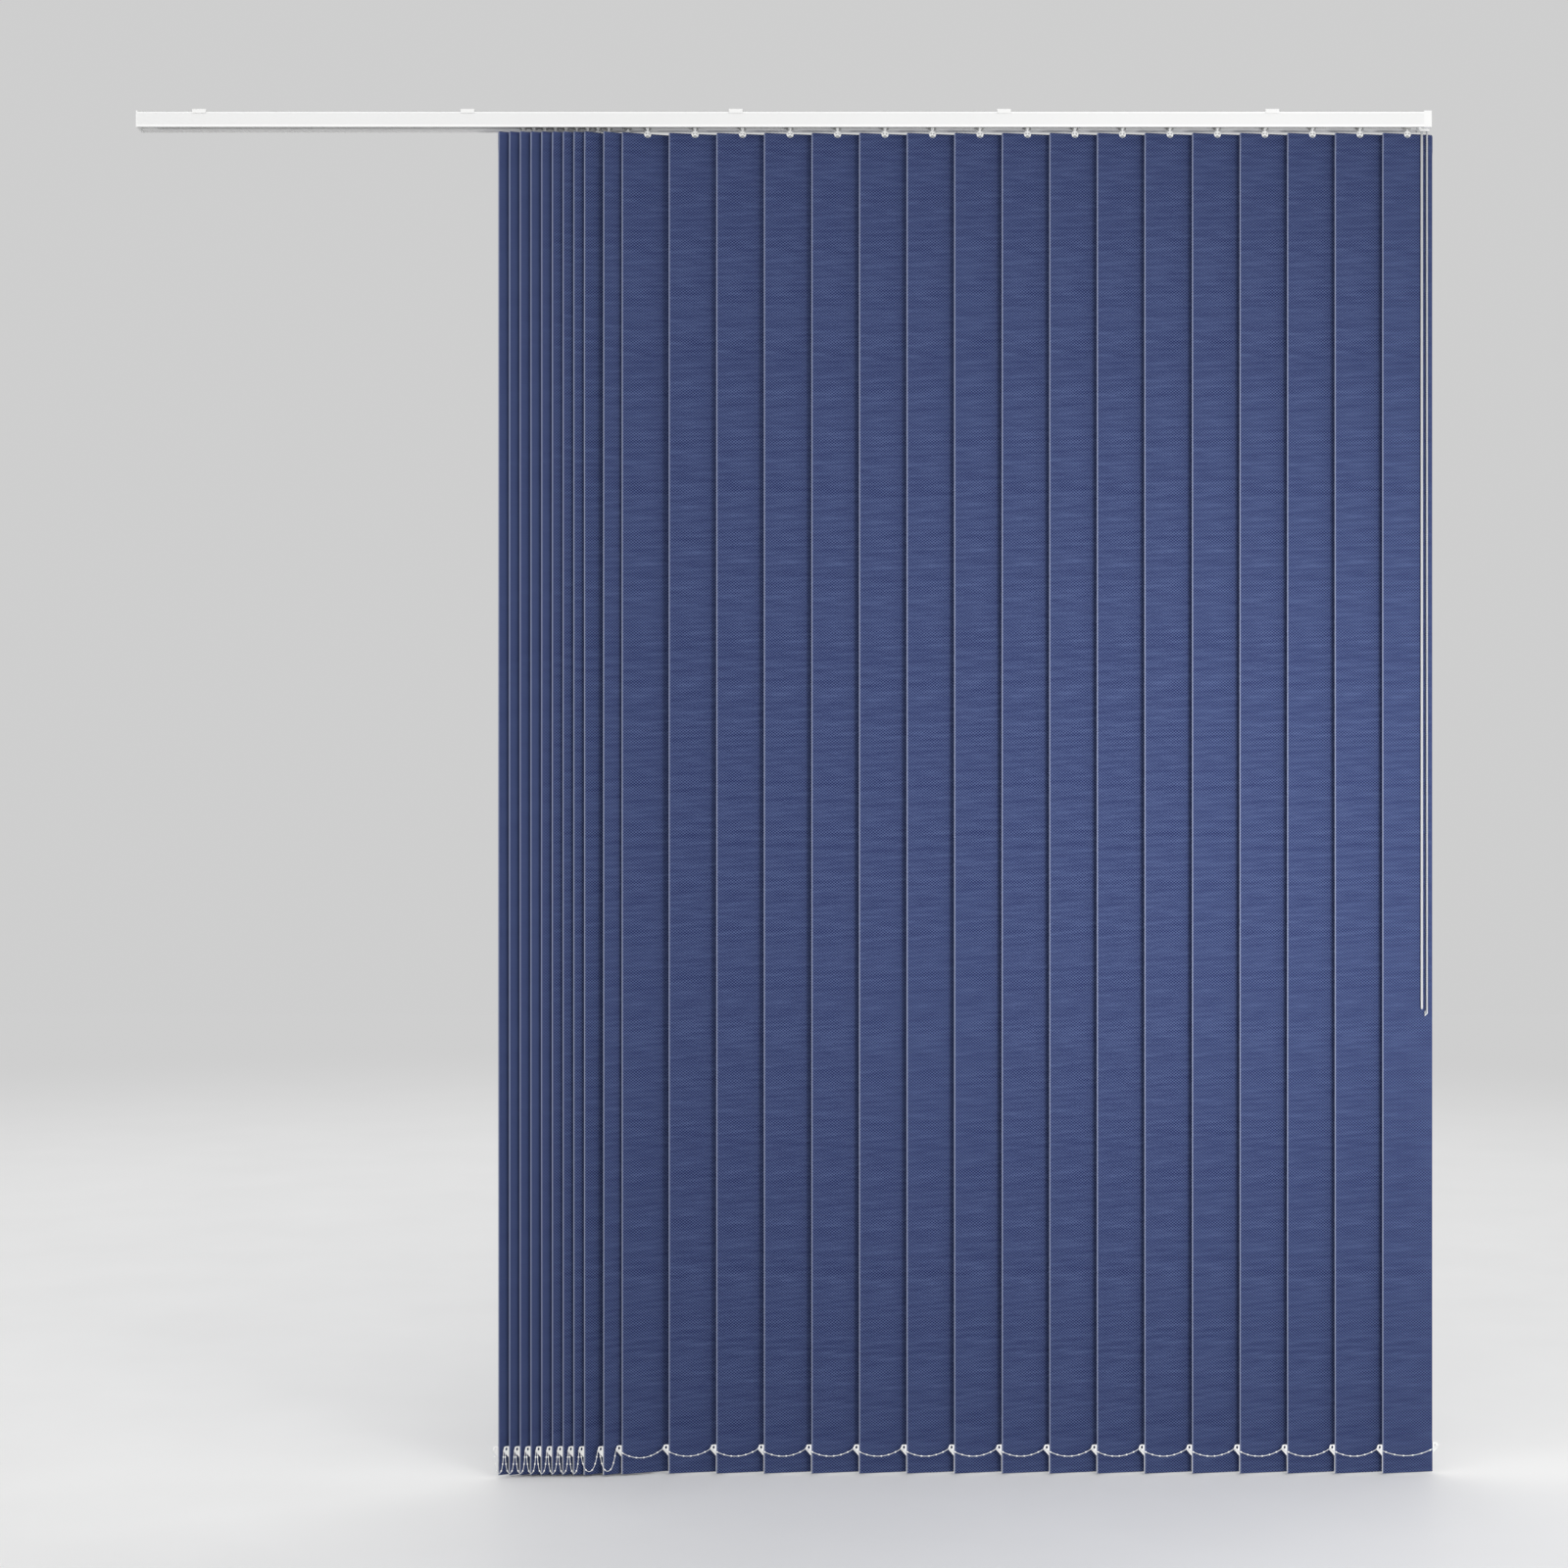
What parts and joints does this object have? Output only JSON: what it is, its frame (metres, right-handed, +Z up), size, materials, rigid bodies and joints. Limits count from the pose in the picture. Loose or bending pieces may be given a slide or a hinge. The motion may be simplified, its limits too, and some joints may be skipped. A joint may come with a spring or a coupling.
{
  "type": "vertical blind",
  "caption": "Vertical blind with navy woven louvres that slide along a white headrail and turn together, partly drawn.",
  "frame": {"origin": "screw hole of the middle bracket, on the bracket's upper face", "axes": "+X along the rail to the right, towards the control end; +Y towards the window; +Z up"},
  "size_m": [2.1916, 0.0548, 2.2918],
  "materials": {
    "rail_paint": "white powder coat, satin",
    "white_metal": "white enamelled spring steel",
    "white_plastic": "white moulded plastic",
    "aluminium_rod": "mill finish",
    "carrier_plastic": "natural grey-white plastic",
    "chain_plastic": "white plastic beads on a string",
    "white_cord": "white braided cord and white beads",
    "navy_fabric": "navy woven polyester, two-tone basket weave"
  },
  "bodies": {
    "headrail": {"headrail": "rail_paint", "brackets": "white_metal", "idle_end": "white_plastic", "control_end": "white_plastic", "stabiliser_chains": "chain_plastic", "control_cords": "white_cord"},
    "tilt_rod": {"tilt_rod": "aluminium_rod"},
    "carrier_01": {"carrier_01": "carrier_plastic"},
    "carrier_02": {"carrier_02": "carrier_plastic"},
    "carrier_03": {"carrier_03": "carrier_plastic"},
    "carrier_04": {"carrier_04": "carrier_plastic"},
    "carrier_05": {"carrier_05": "carrier_plastic"},
    "carrier_06": {"carrier_06": "carrier_plastic"},
    "carrier_07": {"carrier_07": "carrier_plastic"},
    "carrier_08": {"carrier_08": "carrier_plastic"},
    "carrier_09": {"carrier_09": "carrier_plastic"},
    "carrier_10": {"carrier_10": "carrier_plastic"},
    "carrier_11": {"carrier_11": "carrier_plastic"},
    "carrier_12": {"carrier_12": "carrier_plastic"},
    "carrier_13": {"carrier_13": "carrier_plastic"},
    "carrier_14": {"carrier_14": "carrier_plastic"},
    "carrier_15": {"carrier_15": "carrier_plastic"},
    "carrier_16": {"carrier_16": "carrier_plastic"},
    "carrier_17": {"carrier_17": "carrier_plastic"},
    "carrier_18": {"carrier_18": "carrier_plastic"},
    "carrier_19": {"carrier_19": "carrier_plastic"},
    "carrier_20": {"carrier_20": "carrier_plastic"},
    "carrier_21": {"carrier_21": "carrier_plastic"},
    "carrier_22": {"carrier_22": "carrier_plastic"},
    "carrier_23": {"carrier_23": "carrier_plastic"},
    "carrier_24": {"carrier_24": "carrier_plastic"},
    "carrier_25": {"carrier_25": "carrier_plastic"},
    "carrier_26": {"carrier_26": "carrier_plastic"},
    "louvre_01": {"louvre_01": "navy_fabric"},
    "louvre_02": {"louvre_02": "navy_fabric"},
    "louvre_03": {"louvre_03": "navy_fabric"},
    "louvre_04": {"louvre_04": "navy_fabric"},
    "louvre_05": {"louvre_05": "navy_fabric"},
    "louvre_06": {"louvre_06": "navy_fabric"},
    "louvre_07": {"louvre_07": "navy_fabric"},
    "louvre_08": {"louvre_08": "navy_fabric"},
    "louvre_09": {"louvre_09": "navy_fabric"},
    "louvre_10": {"louvre_10": "navy_fabric"},
    "louvre_11": {"louvre_11": "navy_fabric"},
    "louvre_12": {"louvre_12": "navy_fabric"},
    "louvre_13": {"louvre_13": "navy_fabric"},
    "louvre_14": {"louvre_14": "navy_fabric"},
    "louvre_15": {"louvre_15": "navy_fabric"},
    "louvre_16": {"louvre_16": "navy_fabric"},
    "louvre_17": {"louvre_17": "navy_fabric"},
    "louvre_18": {"louvre_18": "navy_fabric"},
    "louvre_19": {"louvre_19": "navy_fabric"},
    "louvre_20": {"louvre_20": "navy_fabric"},
    "louvre_21": {"louvre_21": "navy_fabric"},
    "louvre_22": {"louvre_22": "navy_fabric"},
    "louvre_23": {"louvre_23": "navy_fabric"},
    "louvre_24": {"louvre_24": "navy_fabric"},
    "louvre_25": {"louvre_25": "navy_fabric"},
    "louvre_26": {"louvre_26": "navy_fabric"},
    "louvre_27": {"louvre_27": "navy_fabric"}
  },
  "joints": [
    {"name": "slide_26", "type": "slide", "parent": "headrail", "child": "carrier_26", "axis": [-1, 0, 0], "range_m": [-0.062, 0]},
    {"name": "slide_25", "type": "slide", "parent": "carrier_26", "child": "carrier_25", "axis": [-1, 0, 0], "range_m": [-0.062, 0]},
    {"name": "slide_24", "type": "slide", "parent": "carrier_25", "child": "carrier_24", "axis": [-1, 0, 0], "range_m": [-0.062, 0]},
    {"name": "slide_23", "type": "slide", "parent": "carrier_24", "child": "carrier_23", "axis": [-1, 0, 0], "range_m": [-0.062, 0]},
    {"name": "slide_22", "type": "slide", "parent": "carrier_23", "child": "carrier_22", "axis": [-1, 0, 0], "range_m": [-0.062, 0]},
    {"name": "slide_21", "type": "slide", "parent": "carrier_22", "child": "carrier_21", "axis": [-1, 0, 0], "range_m": [-0.062, 0]},
    {"name": "slide_20", "type": "slide", "parent": "carrier_21", "child": "carrier_20", "axis": [-1, 0, 0], "range_m": [-0.062, 0]},
    {"name": "slide_19", "type": "slide", "parent": "carrier_20", "child": "carrier_19", "axis": [-1, 0, 0], "range_m": [-0.062, 0]},
    {"name": "slide_18", "type": "slide", "parent": "carrier_19", "child": "carrier_18", "axis": [-1, 0, 0], "range_m": [-0.062, 0]},
    {"name": "slide_17", "type": "slide", "parent": "carrier_18", "child": "carrier_17", "axis": [-1, 0, 0], "range_m": [-0.062, 0]},
    {"name": "slide_16", "type": "slide", "parent": "carrier_17", "child": "carrier_16", "axis": [-1, 0, 0], "range_m": [-0.062, 0]},
    {"name": "slide_15", "type": "slide", "parent": "carrier_16", "child": "carrier_15", "axis": [-1, 0, 0], "range_m": [-0.062, 0]},
    {"name": "slide_14", "type": "slide", "parent": "carrier_15", "child": "carrier_14", "axis": [-1, 0, 0], "range_m": [-0.062, 0]},
    {"name": "slide_13", "type": "slide", "parent": "carrier_14", "child": "carrier_13", "axis": [-1, 0, 0], "range_m": [-0.062, 0]},
    {"name": "slide_12", "type": "slide", "parent": "carrier_13", "child": "carrier_12", "axis": [-1, 0, 0], "range_m": [-0.062, 0]},
    {"name": "slide_11", "type": "slide", "parent": "carrier_12", "child": "carrier_11", "axis": [-1, 0, 0], "range_m": [-0.047, 0]},
    {"name": "slide_10", "type": "slide", "parent": "carrier_11", "child": "carrier_10", "axis": [-1, 0, 0], "range_m": [-0.008, 0.047]},
    {"name": "slide_09", "type": "slide", "parent": "carrier_10", "child": "carrier_09", "axis": [-1, 0, 0], "range_m": [-0.014, 0.048]},
    {"name": "slide_08", "type": "slide", "parent": "carrier_09", "child": "carrier_08", "axis": [-1, 0, 0], "range_m": [0, 0.062]},
    {"name": "slide_07", "type": "slide", "parent": "carrier_08", "child": "carrier_07", "axis": [-1, 0, 0], "range_m": [0, 0.062]},
    {"name": "slide_06", "type": "slide", "parent": "carrier_07", "child": "carrier_06", "axis": [-1, 0, 0], "range_m": [0, 0.062]},
    {"name": "slide_05", "type": "slide", "parent": "carrier_06", "child": "carrier_05", "axis": [-1, 0, 0], "range_m": [0, 0.062]},
    {"name": "slide_04", "type": "slide", "parent": "carrier_05", "child": "carrier_04", "axis": [-1, 0, 0], "range_m": [0, 0.062]},
    {"name": "slide_03", "type": "slide", "parent": "carrier_04", "child": "carrier_03", "axis": [-1, 0, 0], "range_m": [0, 0.062]},
    {"name": "slide_02", "type": "slide", "parent": "carrier_03", "child": "carrier_02", "axis": [-1, 0, 0], "range_m": [0, 0.062]},
    {"name": "slide_01", "type": "slide", "parent": "carrier_02", "child": "carrier_01", "axis": [-1, 0, 0], "range_m": [0, 0.062]},
    {"name": "tilt_27", "type": "hinge", "parent": "headrail", "child": "louvre_27", "pos_m": [1.131, 0, -0.04], "axis": [0, 0, 1], "range_deg": [0, 160], "deforming": ["stabiliser_chains"]},
    {"name": "tilt_26", "type": "hinge", "parent": "carrier_26", "child": "louvre_26", "pos_m": [1.051, 0, -0.04], "axis": [0, 0, 1], "range_deg": [0, 160.5]},
    {"name": "tilt_25", "type": "hinge", "parent": "carrier_25", "child": "louvre_25", "pos_m": [0.971, 0, -0.04], "axis": [0, 0, 1], "range_deg": [0, 160.5]},
    {"name": "tilt_24", "type": "hinge", "parent": "carrier_24", "child": "louvre_24", "pos_m": [0.891, 0, -0.04], "axis": [0, 0, 1], "range_deg": [0, 160.5]},
    {"name": "tilt_23", "type": "hinge", "parent": "carrier_23", "child": "louvre_23", "pos_m": [0.811, 0, -0.04], "axis": [0, 0, 1], "range_deg": [0, 160.5]},
    {"name": "tilt_22", "type": "hinge", "parent": "carrier_22", "child": "louvre_22", "pos_m": [0.731, 0, -0.04], "axis": [0, 0, 1], "range_deg": [0, 160.5]},
    {"name": "tilt_21", "type": "hinge", "parent": "carrier_21", "child": "louvre_21", "pos_m": [0.651, 0, -0.04], "axis": [0, 0, 1], "range_deg": [0, 160.5]},
    {"name": "tilt_20", "type": "hinge", "parent": "carrier_20", "child": "louvre_20", "pos_m": [0.571, 0, -0.04], "axis": [0, 0, 1], "range_deg": [0, 160.5]},
    {"name": "tilt_19", "type": "hinge", "parent": "carrier_19", "child": "louvre_19", "pos_m": [0.491, 0, -0.04], "axis": [0, 0, 1], "range_deg": [0, 160.5]},
    {"name": "tilt_18", "type": "hinge", "parent": "carrier_18", "child": "louvre_18", "pos_m": [0.411, 0, -0.04], "axis": [0, 0, 1], "range_deg": [0, 160.5]},
    {"name": "tilt_17", "type": "hinge", "parent": "carrier_17", "child": "louvre_17", "pos_m": [0.331, 0, -0.04], "axis": [0, 0, 1], "range_deg": [0, 160.5]},
    {"name": "tilt_16", "type": "hinge", "parent": "carrier_16", "child": "louvre_16", "pos_m": [0.251, 0, -0.04], "axis": [0, 0, 1], "range_deg": [0, 160.5]},
    {"name": "tilt_15", "type": "hinge", "parent": "carrier_15", "child": "louvre_15", "pos_m": [0.171, 0, -0.04], "axis": [0, 0, 1], "range_deg": [0, 160.5]},
    {"name": "tilt_14", "type": "hinge", "parent": "carrier_14", "child": "louvre_14", "pos_m": [0.091, 0, -0.04], "axis": [0, 0, 1], "range_deg": [0, 160.5]},
    {"name": "tilt_13", "type": "hinge", "parent": "carrier_13", "child": "louvre_13", "pos_m": [0.011, 0, -0.04], "axis": [0, 0, 1], "range_deg": [0, 160.5]},
    {"name": "tilt_12", "type": "hinge", "parent": "carrier_12", "child": "louvre_12", "pos_m": [-0.069, 0, -0.04], "axis": [0, 0, 1], "range_deg": [0, 160.5]},
    {"name": "tilt_11", "type": "hinge", "parent": "carrier_11", "child": "louvre_11", "pos_m": [-0.149, 0, -0.04], "axis": [0, 0, 1], "range_deg": [0, 146.5]},
    {"name": "tilt_10", "type": "hinge", "parent": "carrier_10", "child": "louvre_10", "pos_m": [-0.182, 0, -0.04], "axis": [0, 0, 1], "range_deg": [0, 130.5]},
    {"name": "tilt_09", "type": "hinge", "parent": "carrier_09", "child": "louvre_09", "pos_m": [-0.214, 0, -0.04], "axis": [0, 0, 1], "range_deg": [0, 130.5]},
    {"name": "tilt_08", "type": "hinge", "parent": "carrier_08", "child": "louvre_08", "pos_m": [-0.232, 0, -0.04], "axis": [0, 0, 1], "range_deg": [0, 130.5]},
    {"name": "tilt_07", "type": "hinge", "parent": "carrier_07", "child": "louvre_07", "pos_m": [-0.25, 0, -0.04], "axis": [0, 0, 1], "range_deg": [0, 130.5]},
    {"name": "tilt_06", "type": "hinge", "parent": "carrier_06", "child": "louvre_06", "pos_m": [-0.268, 0, -0.04], "axis": [0, 0, 1], "range_deg": [0, 130.5]},
    {"name": "tilt_05", "type": "hinge", "parent": "carrier_05", "child": "louvre_05", "pos_m": [-0.286, 0, -0.04], "axis": [0, 0, 1], "range_deg": [0, 130.5]},
    {"name": "tilt_04", "type": "hinge", "parent": "carrier_04", "child": "louvre_04", "pos_m": [-0.304, 0, -0.04], "axis": [0, 0, 1], "range_deg": [0, 130.5]},
    {"name": "tilt_03", "type": "hinge", "parent": "carrier_03", "child": "louvre_03", "pos_m": [-0.322, 0, -0.04], "axis": [0, 0, 1], "range_deg": [0, 130.5]},
    {"name": "tilt_02", "type": "hinge", "parent": "carrier_02", "child": "louvre_02", "pos_m": [-0.34, 0, -0.04], "axis": [0, 0, 1], "range_deg": [0, 130.5]},
    {"name": "tilt_01", "type": "hinge", "parent": "carrier_01", "child": "louvre_01", "pos_m": [-0.358, 0, -0.04], "axis": [0, 0, 1], "range_deg": [0, 130.5]},
    {"name": "rod_spin", "type": "hinge", "parent": "headrail", "child": "tilt_rod", "pos_m": [0, 0.0055, -0.0186], "axis": [1, 0, 0], "range_deg": [0, 1925]}
  ],
  "couplings": [
    {"joint": "tilt_26", "follows": "tilt_27", "ratio": 1},
    {"joint": "tilt_25", "follows": "tilt_27", "ratio": 1},
    {"joint": "tilt_24", "follows": "tilt_27", "ratio": 1},
    {"joint": "tilt_23", "follows": "tilt_27", "ratio": 1},
    {"joint": "tilt_22", "follows": "tilt_27", "ratio": 1},
    {"joint": "tilt_21", "follows": "tilt_27", "ratio": 1},
    {"joint": "tilt_20", "follows": "tilt_27", "ratio": 1},
    {"joint": "tilt_19", "follows": "tilt_27", "ratio": 1},
    {"joint": "tilt_18", "follows": "tilt_27", "ratio": 1},
    {"joint": "tilt_17", "follows": "tilt_27", "ratio": 1},
    {"joint": "tilt_16", "follows": "tilt_27", "ratio": 1},
    {"joint": "tilt_15", "follows": "tilt_27", "ratio": 1},
    {"joint": "tilt_14", "follows": "tilt_27", "ratio": 1},
    {"joint": "tilt_13", "follows": "tilt_27", "ratio": 1},
    {"joint": "tilt_12", "follows": "tilt_27", "ratio": 1},
    {"joint": "tilt_11", "follows": "tilt_27", "ratio": 0.9125},
    {"joint": "tilt_10", "follows": "tilt_27", "ratio": 0.8125},
    {"joint": "tilt_09", "follows": "tilt_27", "ratio": 0.8125},
    {"joint": "tilt_08", "follows": "tilt_27", "ratio": 0.8125},
    {"joint": "tilt_07", "follows": "tilt_27", "ratio": 0.8125},
    {"joint": "tilt_06", "follows": "tilt_27", "ratio": 0.8125},
    {"joint": "tilt_05", "follows": "tilt_27", "ratio": 0.8125},
    {"joint": "tilt_04", "follows": "tilt_27", "ratio": 0.8125},
    {"joint": "tilt_03", "follows": "tilt_27", "ratio": 0.8125},
    {"joint": "tilt_02", "follows": "tilt_27", "ratio": 0.8125},
    {"joint": "tilt_01", "follows": "tilt_27", "ratio": 0.8125},
    {"joint": "rod_spin", "follows": "tilt_27", "ratio": 12}
  ]
}
